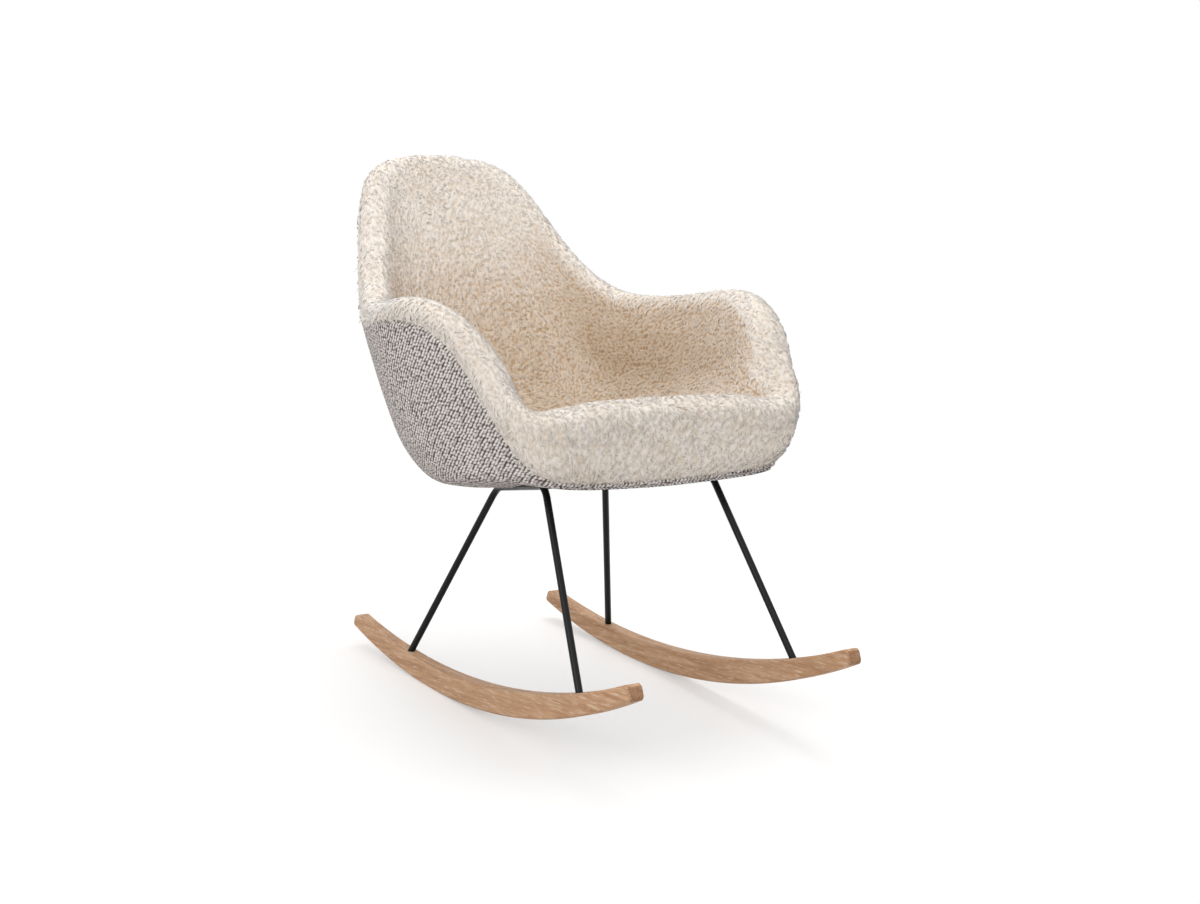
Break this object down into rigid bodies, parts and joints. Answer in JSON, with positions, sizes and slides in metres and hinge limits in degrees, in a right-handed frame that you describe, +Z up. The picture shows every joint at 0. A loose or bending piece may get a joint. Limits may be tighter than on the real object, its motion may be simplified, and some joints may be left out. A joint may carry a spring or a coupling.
{
  "type": "rocking chair",
  "caption": "Upholstered bucket rocking chair: two-tone boucle seat shell with low arms and a tall back, on bent steel rod legs and curved wooden rockers.",
  "frame": {"origin": "point on the floor midway between the two rockers, below the lowest line of their soles", "axes": "+Z up, the front of the chair looks along -Y, +X towards the sitter's left"},
  "size_m": [0.641, 0.9916, 0.8274],
  "materials": {
    "cream_boucle": "long curly pile",
    "grey_boucle": "flecked loop weave",
    "foam": "matte",
    "moulded_shell": "matte",
    "black_steel": "satin powder coat",
    "black_rubber": "matte",
    "zinc_steel": "zinc plated",
    "pale_oak": "limed, matte"
  },
  "bodies": {
    "root": {"inner_cover": "cream_boucle", "outer_cover": "grey_boucle", "seat_foam": "foam", "seat_shell": "moulded_shell", "left_leg_rod": "black_steel", "right_leg_rod": "black_steel", "front_cross_bar": "black_steel", "rear_cross_bar": "black_steel", "mount_tabs": "black_steel", "spacer_pads": "black_rubber", "mount_bolts": "zinc_steel", "shell_nuts": "zinc_steel", "left_rocker": "pale_oak", "right_rocker": "pale_oak"}
  },
  "joints": []
}
